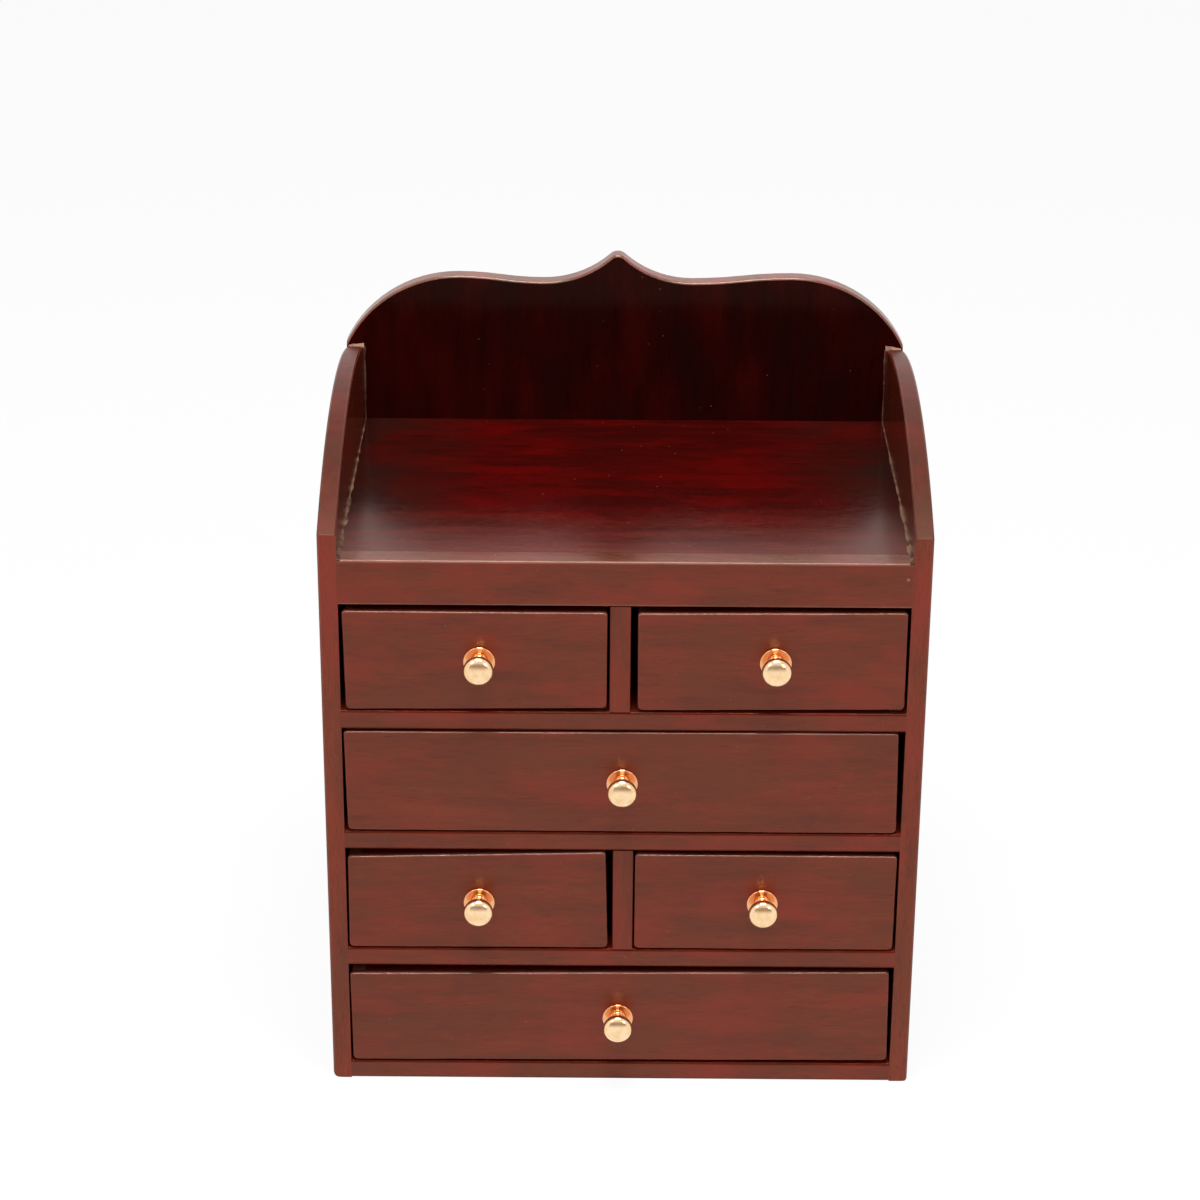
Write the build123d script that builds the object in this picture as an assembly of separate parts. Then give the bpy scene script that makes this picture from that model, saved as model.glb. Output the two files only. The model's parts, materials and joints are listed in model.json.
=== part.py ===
from build123d import *
import os

# Wooden desk organizer: a small chest of six drawers under an open gallery with a shaped back.
# Millimetres, +Z up, the front faces -Y and left is -X. The origin is on the ground, mid footprint.

# Case
case_width = 305.0
case_inner_depth = 203.0
side_thickness = 9.6
back_thickness = 10.0
bottom_thickness = 10.5
shelf_thickness = 10.5
divider_thickness = 10.6
upper_divider_shift = -2.0
lower_divider_shift = 0.4
row_height = 58.1
top_rail_height = 24.2
top_rail_thickness = 12.0
kicker_width = 16.0

# Gallery, with heights counted up from the top shelf
side_front_rise = 13.4
side_crown_rise = 50.8
side_crown_setback = 110.0
side_back_rise = 41.9
crest_end_rise = 44.3
shoulder_rise = 38.3
shoulder_reach = 90.8
dip_drop = 3.2
dip_reach = 40.2
peak_rise = 17.8
peak_shift = -4.1
peak_round = 6.0

# Housings that hold the shelves and dividers, stopped behind the top rail
housing_depth = 3.0
housing_setback = 2.0

# Softened edges of the case
arris_bevel = 0.8
left_foot_round = 3.5
right_foot_round = 2.0

# Drawers
drawer_front_thickness = 10.0
drawer_lap = 4.0
drawer_side_thickness = 7.0
drawer_side_inset = 0.3
drawer_side_headroom = 5.5
drawer_back_thickness = 7.0
drawer_back_drop = 3.0
drawer_bottom_thickness = 3.0
groove_depth = 3.0
groove_lift = 4.0
runner_gap = 0.2
rear_gap = 0.5
front_arris_bevel = 1.1

# Gaps round the hand fitted drawer fronts: each front has its own shares of these three
side_gap = 2.0
top_gap = 3.0
foot_gap = 1.0
left_gap_shares = {
    "upper_left": {"top": 0.8, "foot": 1.2},
    "upper_right": {"top": 1.65, "foot": 1.8},
    "upper_wide": {"top": 0.35, "foot": 0.85},
    "lower_left": {"top": 0.55, "foot": 0.4},
    "lower_right": {"top": 0.4, "foot": 0.3},
    "lower_wide": {"top": 0.25, "foot": 0.55},
}
right_gap_shares = {
    "upper_left": {"top": 0.55, "foot": 0.6},
    "upper_right": {"top": 0.7, "foot": 0.55},
    "upper_wide": {"top": 1.65, "foot": 1.15},
    "lower_left": {"top": 1.8, "foot": 1.1},
    "lower_right": {"top": 0.5, "foot": 0.65},
    "lower_wide": {"top": 1.2, "foot": 0.75},
}
top_gap_shares = {
    "upper_left": {"left": 1.1, "right": 1.13},
    "upper_right": {"left": 1.2, "right": 0.85},
    "upper_wide": {"left": 0.43, "right": 0.2},
    "lower_left": {"left": 1.47, "right": 0.37},
    "lower_right": {"left": 0.73, "right": 0.78},
    "lower_wide": {"left": 1.67, "right": 0.8},
}
foot_gap_shares = {
    "upper_left": {"left": 0.5, "right": 2.0},
    "upper_right": {"left": 0.9, "right": 2.2},
    "upper_wide": {"left": 0.5, "right": 0.5},
    "lower_left": {"left": 0.5, "right": 0.7},
    "lower_right": {"left": 0.6, "right": 0.4},
    "lower_wide": {"left": 0.5, "right": 1.9},
}

# Knobs
rose_diameter = 16.2
rose_thickness = 1.8
neck_diameter = 8.0
neck_length = 3.0
head_diameter = 16.0
head_flare = 4.2
head_girdle = 7.6
knob_shift_shares = {
    "upper_left": 0.11,
    "upper_right": 0.11,
    "upper_wide": 0.02,
    "lower_left": 0.07,
    "lower_right": -0.08,
    "lower_wide": -0.06,
}

# Screws that hold the knobs from inside the drawers
screw_diameter = 3.5
screw_grip = 7.0
screw_clearance = 0.05
screw_tip_gap = 1.0
screw_hole_clearance = 0.3
screw_head_diameter = 7.0
screw_head_height = 2.4

# How far every cutter runs past the face that it opens
overrun = 5.0

# Planes of the case
half_width = case_width / 2
inner_half = half_width - side_thickness
half_divider = divider_thickness / 2
front_y = -(case_inner_depth + back_thickness) / 2
back_y = front_y + case_inner_depth
rail_back_y = front_y + top_rail_thickness
housing_y = rail_back_y + housing_setback

# Levels of the case, from the ground up
row_pitch = row_height + shelf_thickness
lower_wide_floor = bottom_thickness
lower_floor = lower_wide_floor + row_pitch
upper_wide_floor = lower_floor + row_pitch
upper_floor = upper_wide_floor + row_pitch
rail_z = upper_floor + row_height
gallery_z = rail_z + top_rail_height

# Under and upper faces of the boards that lie between the sides
shelf_levels = {
    "bottom_board": (0, lower_wide_floor),
    "lower_shelf": (lower_floor - shelf_thickness, lower_floor),
    "middle_shelf": (upper_wide_floor - shelf_thickness, upper_wide_floor),
    "upper_shelf": (upper_floor - shelf_thickness, upper_floor),
    "top_shelf": (gallery_z - shelf_thickness, gallery_z),
}

# Drawer openings: left wall, right wall and the floor that the drawer runs on
bays = {
    "upper_left": (-inner_half, upper_divider_shift - half_divider, upper_floor),
    "upper_right": (upper_divider_shift + half_divider, inner_half, upper_floor),
    "upper_wide": (-inner_half, inner_half, upper_wide_floor),
    "lower_left": (-inner_half, lower_divider_shift - half_divider, lower_floor),
    "lower_right": (lower_divider_shift + half_divider, inner_half, lower_floor),
    "lower_wide": (-inner_half, inner_half, lower_wide_floor),
}


def block(low, high):
    """A square board between two opposite corners."""
    size = Vector(*high) - Vector(*low)
    return Pos(Vector(*low) + size / 2) * Box(size.X, size.Y, size.Z)


def turned(*profile):
    """A turned piece, from the corners of its half section given as radius and height."""
    section = Polyline(*profile, close=True)
    return revolve(Plane.XZ * make_face(section), axis=Axis.Z)


def softened_front(board):
    """The board with its long front edges eased."""
    return chamfer(board.edges().filter_by(Axis.X).group_by(Axis.Y)[0], arris_bevel)


# Case


def side_panel(foot_round):
    """The right side: square below, with the top swept up from the front in one long arc."""
    top_front = (front_y, gallery_z + side_front_rise)
    crown = (front_y + side_crown_setback, gallery_z + side_crown_rise)
    top_back = (back_y, gallery_z + side_back_rise)
    outline = Polyline(top_front, (front_y, 0), (back_y, 0), top_back)
    outline += ThreePointArc(top_back, crown, top_front)
    board = extrude(Plane.YZ * make_face(outline), amount=side_thickness, dir=(1, 0, 0))
    board = Pos(inner_half, 0, 0) * board
    board = chamfer(board.edges().filter_by(GeomType.CIRCLE), arris_bevel)
    front_corner = board.edges().filter_by(Axis.Z).group_by(Axis.Y)[0].sort_by(Axis.X)[-1]
    board = chamfer(front_corner, arris_bevel)
    foot = board.edges().filter_by(Axis.Y).group_by(Axis.Z)[0].sort_by(Axis.X)[-1]
    board = fillet(foot, foot_round)
    for under, upper in shelf_levels.values():
        low = (inner_half - overrun, housing_y, under)
        board -= block(low, (inner_half + housing_depth, back_y + overrun, upper))
    return board


def back_panel():
    """One board with an ogee crest: a peak between two dips, and a rounded shoulder at each end."""
    end_z = gallery_z + crest_end_rise
    shoulder_z = end_z + shoulder_rise
    dip_z = shoulder_z - dip_drop
    peak = Vector(peak_shift, dip_z + peak_rise)
    outline = Polyline((-half_width, end_z), (-half_width, 0), (half_width, 0), (half_width, end_z))
    for hand in (-1, 1):
        outward, inward = (hand, 0), (-hand, 0)
        shoulder = Vector(hand * shoulder_reach, shoulder_z)
        dip = Vector(peak_shift + hand * dip_reach, dip_z)
        between = (shoulder + dip) / 2
        outline += TangentArc(shoulder, (hand * half_width, end_z), tangent=outward)
        outline += TangentArc(shoulder, between, tangent=inward)
        outline += TangentArc(dip, between, tangent=outward)
        outline += TangentArc(dip, peak, tangent=inward)
    face = make_face(outline)
    face = fillet(face.vertices().sort_by(Axis.Y)[-1], peak_round)
    board = extrude(Plane.XZ * face, amount=back_thickness, dir=(0, 1, 0))
    crest = board.edges().filter_by(GeomType.CIRCLE)
    # The bevel runs out at the board's ends, where a tight shoulder leaves less wall for it
    shoulder_run = half_width - shoulder_reach
    shoulder_radius = (shoulder_run**2 + shoulder_rise**2) / (2 * shoulder_rise)
    bevel = min(arris_bevel, (shoulder_radius - shoulder_run) / 2)
    return Pos(0, back_y, 0) * chamfer(crest, bevel)


def shelf(name, front):
    """A board between the sides, with its ends let into their housings."""
    under, upper = shelf_levels[name]
    tongue = inner_half + housing_depth
    board = block((-inner_half, front, under), (inner_half, back_y, upper))
    return board + block((-tongue, housing_y, under), (tongue, back_y, upper))


def divider_housing(middle, level):
    """The cut that lets a divider into the board above or below it."""
    low = (middle - half_divider, housing_y, level - housing_depth)
    return block(low, (middle + half_divider, back_y + overrun, level + housing_depth))


def divider(middle, floor):
    """An upright board between two drawers, let into the boards above and below it."""
    low_x, high_x = middle - half_divider, middle + half_divider
    ceiling = floor + row_height
    board = block((low_x, front_y, floor), (high_x, back_y, ceiling))
    low = (low_x, housing_y, floor - housing_depth)
    return board + block(low, (high_x, back_y, ceiling + housing_depth))


def top_rail():
    """The deep rail under the gallery, glued to the front edge of the top shelf."""
    low = (-inner_half, front_y, rail_z)
    return softened_front(block(low, (inner_half, rail_back_y, gallery_z)))


def kicker(low_x, high_x):
    """A strip under the top shelf that keeps an open drawer from tipping."""
    ceiling = shelf_levels["top_shelf"][0]
    return block((low_x, rail_back_y, rail_z), (high_x, back_y, ceiling))


def case_pieces():
    """Every fixed board of the case, by name."""
    pieces = {
        "side_panel_left": mirror(side_panel(left_foot_round), about=Plane.YZ),
        "side_panel_right": side_panel(right_foot_round),
        "back_panel": back_panel(),
        "top_rail": top_rail(),
        "top_shelf": shelf("top_shelf", rail_back_y),
    }
    for name in ("upper_shelf", "middle_shelf", "lower_shelf", "bottom_board"):
        pieces[name] = softened_front(shelf(name, front_y))
    pieces["upper_divider"] = divider(upper_divider_shift, upper_floor)
    pieces["lower_divider"] = divider(lower_divider_shift, lower_floor)
    pieces["upper_shelf"] -= divider_housing(upper_divider_shift, upper_floor)
    pieces["middle_shelf"] -= divider_housing(lower_divider_shift, lower_floor + row_height)
    pieces["lower_shelf"] -= divider_housing(lower_divider_shift, lower_floor)
    reach = half_divider + kicker_width
    middle_kicker = kicker(upper_divider_shift - reach, upper_divider_shift + reach)
    pieces["kicker_left"] = kicker(-inner_half, kicker_width - inner_half)
    pieces["kicker_middle"] = middle_kicker - divider_housing(upper_divider_shift, rail_z)
    pieces["kicker_right"] = kicker(inner_half - kicker_width, inner_half)
    return pieces


# Drawers


def box_sides(name):
    """The outer faces of a drawer's two sides, just inside the ends of its front."""
    left, right, _ = bays[name]
    low_x = left + max(left_gap_shares[name].values()) * side_gap + drawer_side_inset
    high_x = right - max(right_gap_shares[name].values()) * side_gap - drawer_side_inset
    return low_x, high_x


def groove_levels(name):
    """The under and upper faces of a drawer's bottom panel."""
    under = bays[name][2] + runner_gap + groove_lift
    return under, under + drawer_bottom_thickness


def knob_place(name):
    """The middle of a knob's rose, on the face of the drawer front."""
    middle_x = sum(box_sides(name)) / 2 + knob_shift_shares[name] * rose_diameter
    floor = bays[name][2]
    foot = floor + foot_gap * sum(foot_gap_shares[name].values()) / 2
    top = floor + row_height - top_gap * sum(top_gap_shares[name].values()) / 2
    return Vector(middle_x, front_y, (foot + top) / 2)


def front_outline(name):
    """The outline of a front that was planed to fit its own opening."""
    left, right, floor = bays[name]
    top = floor + row_height
    corners = (
        (left + left_gap_shares[name]["foot"] * side_gap, floor + foot_gap_shares[name]["left"] * foot_gap),
        (right - right_gap_shares[name]["foot"] * side_gap, floor + foot_gap_shares[name]["right"] * foot_gap),
        (right - right_gap_shares[name]["top"] * side_gap, top - top_gap_shares[name]["right"] * top_gap),
        (left + left_gap_shares[name]["top"] * side_gap, top - top_gap_shares[name]["left"] * top_gap),
    )
    return make_face(Polyline(*corners, close=True))


def drawer_front(name):
    """The front board, rebated for the sides, grooved for the bottom and drilled for the knob."""
    board = extrude(Plane.XZ * front_outline(name), amount=drawer_front_thickness, dir=(0, 1, 0))
    board = chamfer(board.faces().sort_by(Axis.Y)[0].edges(), front_arris_bevel)
    board = Pos(0, front_y, 0) * board
    left, right, floor = bays[name]
    low_x, high_x = box_sides(name)
    rear_y = front_y + drawer_front_thickness
    ends = (
        (left - overrun, low_x + drawer_side_thickness),
        (high_x - drawer_side_thickness, right + overrun),
    )
    for start, stop in ends:
        low = (start, front_y + drawer_lap, floor - overrun)
        board -= block(low, (stop, rear_y + overrun, floor + row_height))
    under, upper = groove_levels(name)
    board -= block((left, rear_y - groove_depth, under), (right, rear_y + overrun, upper))
    hole = Cylinder(screw_diameter / 2 + screw_hole_clearance, 2 * (drawer_front_thickness + overrun))
    return board - Pos(knob_place(name)) * Rot(X=90) * hole


def drawer_side(name, hand):
    """A side board with a groove along its inner face for the bottom panel."""
    low_x, high_x = box_sides(name)
    outer = low_x if hand < 0 else high_x
    inner = outer - hand * drawer_side_thickness
    low_y, high_y = front_y + drawer_lap, back_y - rear_gap
    floor = bays[name][2]
    top = floor + row_height - drawer_side_headroom
    start, stop = sorted((outer, inner))
    board = block((start, low_y, floor + runner_gap), (stop, high_y, top))
    under, upper = groove_levels(name)
    start, stop = sorted((inner - hand * overrun, inner + hand * groove_depth))
    return board - block((start, low_y - overrun, under), (stop, high_y + overrun, upper))


def drawer_back(name):
    """The back between the sides, standing on the bottom panel."""
    low_x, high_x = box_sides(name)
    high_y = back_y - rear_gap
    top = bays[name][2] + row_height - drawer_side_headroom - drawer_back_drop
    low = (low_x + drawer_side_thickness, high_y - drawer_back_thickness, groove_levels(name)[1])
    return block(low, (high_x - drawer_side_thickness, high_y, top))


def drawer_bottom(name):
    """A thin panel slid in under the back, in the grooves of the sides and front."""
    low_x, high_x = box_sides(name)
    edge = drawer_side_thickness - groove_depth
    under, upper = groove_levels(name)
    low = (low_x + edge, front_y + drawer_front_thickness - groove_depth, under)
    return block(low, (high_x - edge, back_y - rear_gap, upper))


def knob():
    """A turned knob: flat rose, straight neck and flared head, bored for its screw."""
    rose, neck, head = rose_diameter / 2, neck_diameter / 2, head_diameter / 2
    root = rose_thickness + neck_length
    girdle = root + head_flare
    top = girdle + head_girdle
    bore = screw_diameter / 2 + screw_clearance
    bore_end = screw_grip + screw_tip_gap
    return turned(
        (bore, 0),
        (rose, 0),
        (rose, rose_thickness),
        (neck, rose_thickness),
        (neck, root),
        (head, girdle),
        (head, top),
        (0, top),
        (0, bore_end),
        (bore, bore_end),
    )


def knob_screw():
    """A screw whose head bears on the inside of the drawer front."""
    shank, head = screw_diameter / 2, screw_head_diameter / 2
    tip = drawer_front_thickness + screw_grip
    return turned(
        (0, -screw_head_height),
        (head, -screw_head_height),
        (head, 0),
        (shank, 0),
        (shank, tip),
        (0, tip),
    )


def drawer_pieces(name):
    """Every piece of one drawer, by name."""
    rose = Pos(knob_place(name))
    inner_face = Pos(0, drawer_front_thickness, 0)
    pieces = {
        "front": drawer_front(name),
        "side_left": drawer_side(name, -1),
        "side_right": drawer_side(name, 1),
        "back": drawer_back(name),
        "bottom": drawer_bottom(name),
        "knob": rose * Rot(X=90) * knob(),
        "knob_screw": rose * inner_face * Rot(X=90) * knob_screw(),
    }
    return {name + "_drawer_" + piece: solid for piece, solid in pieces.items()}


os.makedirs("parts", exist_ok=True)
organizer = case_pieces()
for bay in bays:
    organizer |= drawer_pieces(bay)
for node, solid in organizer.items():
    solid.label = node
    export_step(solid, os.path.join("parts", node + ".step"))
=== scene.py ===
import json
import math
import bmesh
import bpy
from mathutils import Matrix, Vector, noise


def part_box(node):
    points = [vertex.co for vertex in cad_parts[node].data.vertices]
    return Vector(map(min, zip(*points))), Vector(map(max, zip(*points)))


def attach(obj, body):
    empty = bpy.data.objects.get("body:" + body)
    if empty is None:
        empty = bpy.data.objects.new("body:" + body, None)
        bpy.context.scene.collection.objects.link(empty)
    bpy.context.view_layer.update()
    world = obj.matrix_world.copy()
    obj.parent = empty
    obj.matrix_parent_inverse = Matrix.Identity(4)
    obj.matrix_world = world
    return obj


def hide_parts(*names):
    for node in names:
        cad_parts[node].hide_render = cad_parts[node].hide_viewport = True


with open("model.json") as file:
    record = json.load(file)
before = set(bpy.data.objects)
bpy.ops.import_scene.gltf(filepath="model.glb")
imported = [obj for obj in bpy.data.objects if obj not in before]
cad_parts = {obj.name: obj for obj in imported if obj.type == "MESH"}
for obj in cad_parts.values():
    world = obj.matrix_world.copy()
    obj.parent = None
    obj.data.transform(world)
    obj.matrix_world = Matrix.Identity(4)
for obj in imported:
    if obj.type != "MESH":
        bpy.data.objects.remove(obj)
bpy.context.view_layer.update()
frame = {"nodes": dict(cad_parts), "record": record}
nodes = frame["nodes"]
record = frame["record"]
slot_of = {part["node"]: part["material_slot"] for part in record["subparts"]}
body_of = {node: body for body, members in record["behaviour"]["bodies"].items() for node in members}
drawers = [body for body in record["behaviour"]["bodies"] if body.endswith("_drawer")]

# Lengths are in metres
mm = 0.001

# Directions seen from the front
right = Vector((1, 0, 0))
forward = Vector((0, -1, 0))
up = Vector((0, 0, 1))

# Planes of the case, read from the solids
front_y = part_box("top_rail")[0].y
back_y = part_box("back_panel")[0].y
inner_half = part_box("top_rail")[1].x
outer_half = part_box("back_panel")[1].x
gallery_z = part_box("top_rail")[1].z

# Camera of the photograph
camera_spot = Vector((-9.558, -1543.068, 904.346)) * mm
camera_pitch = math.radians(23.5507)
camera_yaw = math.radians(0.2762)
camera_roll = math.radians(0.43789)
camera_lens = 94.551
camera_sensor = 36.0

# Softened edges of the boards
weld_gap = 0.01 * mm
flat_angle = math.radians(0.6)
arris_angle = math.radians(30)
shading_angle = math.radians(40)
arris_round = 0.35 * mm
arris_steps = 3
round_profile = 0.5

# Which edges are softened: how near the front, how long, and how far from the housings and the shelf
front_reach = 2.0 * mm
divider_reach = 1.0 * mm
upright_length = 10.0 * mm
housing_clear = 5.0 * mm
shelf_clear = 11.0 * mm

# Least cosines to an axis: of a face square to it, of one that leans its way, and of an arris that looks up
square_on = 0.995
leaning = 0.1
looking_up = 0.2

# How far the edges are paled: partly abraded wood and partly a painted highlight
side_wear_and_highlight = 0.25
back_wear_and_highlight = 0.25
rail_wear_and_highlight = 0.6
front_top_wear_and_highlight = 0.5
front_side_wear_and_highlight = 0.1

# Drawer fronts
front_arris = 1.0 * mm
front_arris_vary = 0.3
front_arris_steps = 6
front_arris_seed = 7.3
front_top_corner = 2.2 * mm
front_foot_corner = 3.0 * mm
front_corner_steps = 6
front_edge_step = 5.0 * mm
front_wobble = 0.14 * mm
front_wobble_length = 22.0 * mm
front_rubbed_depth = 2.6 * mm
front_lap = 4.0 * mm
front_rear_ease = 0.3 * mm

# Knobs
rose_thickness = 1.8 * mm
rose_rim = 0.6 * mm
neck_radius = 3.6 * mm
neck_flare = 0.7 * mm
head_root = 4.75 * mm
head_root_radius = 4.1 * mm
head_radius = 7.7 * mm
head_girdle = 12.4 * mm
curve_steps = 10
knob_sides = 72

# Screws inside the drawers
screw_rim = 0.7 * mm
screw_head_height = 2.4 * mm
screw_slot_width = 1.1 * mm
screw_slot_depth = 1.1 * mm
screw_sides = 40

# Filler along the joints of the gallery: widths at the two ends, and how unevenly it was pressed in
shelf_bead_widths = (0.5 * mm, 2.3 * mm)
back_bead_widths = (0.6 * mm, 1.2 * mm)
bead_step = 1.5 * mm
bead_sink = 0.1 * mm
bead_fullness = 0.4
bead_patch_length = 9.0 * mm
bead_mean = 0.65
bead_least = 0.25
bead_patchy = 0.6
bead_ragged = 0.3
bead_ragged_rate = 4
bead_ragged_seed = 5
back_bead_seed = 3
bead_seeds = {"left": 1.3, "right": 8.7}

# Dabs of filler on the tops of the sides
spot_width = 2.4 * mm
spot_steps = 8
spot_end_gap = 1.0 * mm
spot_taper = 0.6
spot_ragged = 0.3
spot_ragged_rate = 3
back_contact = 1.0 * mm

# Pin through the right end of the top rail
pin_spot = Vector((140.5, 0, 289.9)) * mm
pin_radius = 0.9 * mm
pin_rise = 0.12 * mm
pin_steps = 4
pin_sides = 20

# Studio
white = (1, 1, 1, 1)
floor_half = 6.0
floor_drop = 0.02 * mm
floor_glow = 0.92
floor_shadow = (0.1, 0.1, 0.1, 1)
floor_colour = (0.85, 0.84, 0.82, 1)
room_half = 3.5
room_front = -3.2
room_back = 0.4
room_height = 3.0
room_pale = (0.95, 0.92, 0.9, 1)
room_dim = (0.42, 0.37, 0.36, 1)
room_stops = (0.0, 0.3, 0.55, 1.0)
soft_light = 0.18

# Softboxes: place, width, depth and power in watts
softboxes = {
    "softbox_top": ((0, -0.6, 2.6), 1.2, 0.8, 52.0),
    "softbox_left": ((-1.05, -0.9, 1.35), 0.6, 0.6, 2.6),
    "softbox_right": ((1.15, -1.2, 1.1), 0.6, 0.6, 2.6),
}


def srgb(red, green, blue):
    """A colour from its 0 to 255 screen levels, as Blender's linear values."""
    shares = (level / 255 for level in (red, green, blue))
    linear = [s / 12.92 if s <= 0.04045 else ((s + 0.055) / 1.055) ** 2.4 for s in shares]
    return (*linear, 1.0)


def stained_and_lit(tone, shade):
    """A tone of the wood, multiplied in red, green and blue by painted light: painted shade on faces in
    darker light, painted sheen on faces in brighter light.
    """
    return tuple(level * part for level, part in zip(srgb(*tone), (*shade, 1.0)))


# Node trees


def blank(name):
    """An empty material and its node tree."""
    material = bpy.data.materials.new(name)
    material.use_nodes = True
    material.node_tree.nodes.clear()
    return material, material.node_tree


def feed(tree, socket, value):
    """Links a socket to another node, or sets its value."""
    if isinstance(value, bpy.types.NodeSocket):
        tree.links.new(value, socket)
    else:
        socket.default_value = value


def add(tree, kind, inputs=None, **settings):
    """A shader node with its settings and inputs."""
    node = tree.nodes.new("ShaderNode" + kind)
    for key, value in settings.items():
        setattr(node, key, value)
    for key, value in (inputs or {}).items():
        feed(tree, node.inputs[key], value)
    return node


def calc(tree, operation, *values):
    """A sum on numbers."""
    return add(tree, "Math", dict(enumerate(values)), operation=operation).outputs[0]


def shift(tree, operation, *values):
    """A sum on vectors."""
    return add(tree, "VectorMath", dict(enumerate(values)), operation=operation).outputs[0]


def clouds(tree, spot, scale, detail=2.0, rough=0.5, output="Fac"):
    """Noise with a given number of features per metre."""
    inputs = {"Vector": spot, "Scale": scale, "Detail": detail, "Roughness": rough}
    return add(tree, "TexNoise", inputs).outputs[output]


def stretch(tree, value, low, high, to_low=0.0, to_high=1.0):
    """Maps a range of values to another, and cuts off what lies outside."""
    inputs = {"Value": value, "From Min": low, "From Max": high, "To Min": to_low, "To Max": to_high}
    return add(tree, "MapRange", inputs).outputs["Result"]


def ramp(tree, value, places, colours):
    """A colour ramp with a colour at each place."""
    node = add(tree, "ValToRGB", {"Fac": value})
    elements = node.color_ramp.elements
    while len(elements) < len(places):
        elements.new(1.0)
    for element, place, colour in zip(elements, places, colours):
        element.position = place
        element.color = colour
    return node.outputs["Color"]


def tint(tree, share, first, second):
    """Two colours mixed."""
    node = add(tree, "Mix", data_type="RGBA")
    for place, value in ((0, share), (6, first), (7, second)):
        feed(tree, node.inputs[place], value)
    return node.outputs[2]


def bump(tree, height, depth, under=None):
    """A bump of a given depth, on top of another one."""
    inputs = {"Height": height, "Distance": depth, "Strength": 1.0}
    if under:
        inputs["Normal"] = under
    return add(tree, "Bump", inputs).outputs["Normal"]


def surface(tree, shader):
    """The tree's output."""
    tree.links.new(shader.outputs[0], add(tree, "OutputMaterial").inputs["Surface"])


# Grain of the wood

# Features per metre, and how much they are drawn out along the board
sway_scale = 9.0
ribbon_scale = 130.0
fibre_scale = 1000.0
pore_scale = 1800.0
blotch_scale = 48.0
sweep_scale = 22.0
speck_scale = 90.0
fibre_draw = 0.1
blotch_draw = 0.35

# How far apart the boards lie in the noise, how far the fibres sway, and where pores and specks begin
board_offset = (3.1, 1.7, 2.3)
noise_middle = (0.5, 0.5, 0.5)
noise_range = (0.3, 0.7)
sway_reach = (0.01, 0.01, 0.01)
pore_range = (0.60, 0.74)
speck_range = (0.045, 0.025)


def drawn_out(along, share):
    """Factors that draw a noise out along an axis of the frame."""
    return tuple(share if axis == along else 1.0 for axis in "XYZ")


def grain(tree, along):
    """Grain along an axis of the frame: ribbons, fibres, pores and blotches, different on each board."""
    spot = add(tree, "TexCoord").outputs["Object"]
    place = add(tree, "SeparateXYZ", {0: spot}).outputs
    luck = add(tree, "ObjectInfo").outputs["Random"]
    own = shift(tree, "ADD", spot, shift(tree, "MULTIPLY", board_offset, luck))
    sway = clouds(tree, own, sway_scale, detail=1.0, output="Color")
    sway = shift(tree, "MULTIPLY", shift(tree, "SUBTRACT", sway, noise_middle), sway_reach)
    fibres = shift(tree, "MULTIPLY", shift(tree, "ADD", own, sway), drawn_out(along, fibre_draw))
    patches = shift(tree, "MULTIPLY", own, drawn_out(along, blotch_draw))
    crumbs = add(tree, "TexVoronoi", {"Vector": own, "Scale": speck_scale}).outputs["Distance"]
    return {
        "ribbon": clouds(tree, fibres, ribbon_scale, detail=3.0, rough=0.6),
        "fibre": clouds(tree, fibres, fibre_scale, detail=4.0, rough=0.65),
        "pore": stretch(tree, clouds(tree, fibres, pore_scale, detail=1.0), *pore_range),
        "blotch": clouds(tree, patches, blotch_scale, detail=3.0, rough=0.55),
        "sweep": clouds(tree, own, sweep_scale, detail=1.0),
        "speck": stretch(tree, crumbs, *speck_range),
        "across": calc(tree, "ABSOLUTE", place["X"]),
        "depth": place["Y"],
    }


def figure(tree, marks, fibre_share):
    """The light and dark of the grain, from its fibres and ribbons."""
    ribbons = calc(tree, "MULTIPLY", marks["ribbon"], 1 - fibre_share)
    return calc(tree, "MULTIPLY_ADD", marks["fibre"], fibre_share, ribbons)


# Lacquered mahogany

# The grain's colours and how each mark tints them. A range of four turns noise values into shares
lacquer_fibre_share = 0.5
lacquer_stops = (0.36, 0.50, 0.64)
red_blotches = (0.50, 0.70, 0.0, 0.8)
brown_blotches = (0.50, 0.30, 0.0, 0.8)
lacquer_pore_stain = 0.4
speck_stain = 0.5
speck_tone = (150, 100, 80)

# The lacquer itself
lacquer_ior = 1.5
lacquer_tint = (1.0, 0.86, 0.68, 1.0)
lacquer_bump = 0.018 * mm
lacquer_pore_depth = -0.7
board_waviness = 0.2 * mm

# Edges abraded pale and smooth: the paler colour is partly abrasion and partly a painted highlight
wear_and_highlight_tone = (168, 122, 110)
wear_and_highlight_patches = (0.35, 0.65, 0.35, 0.9)
wear_polish = (0.0, 0.2, 1.0, 0.35)

# The shelf's front, partly scuff marks and partly painted lighter where light falls on it, and its ends,
# darkened with painted shade
scuff_and_light_span = (-30 * mm, -85 * mm)
scuff_and_light_streaks = (0.35, 0.65, 0.5, 1.2)
scuff_and_light_tone = (114, 31, 16)
scuff_dulling = 0.12
end_shade_span = (75 * mm, 135 * mm)
end_shade_patches = (0.35, 0.65, 0.4, 1.0)
end_shade_tone = (46, 23, 18)


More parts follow.
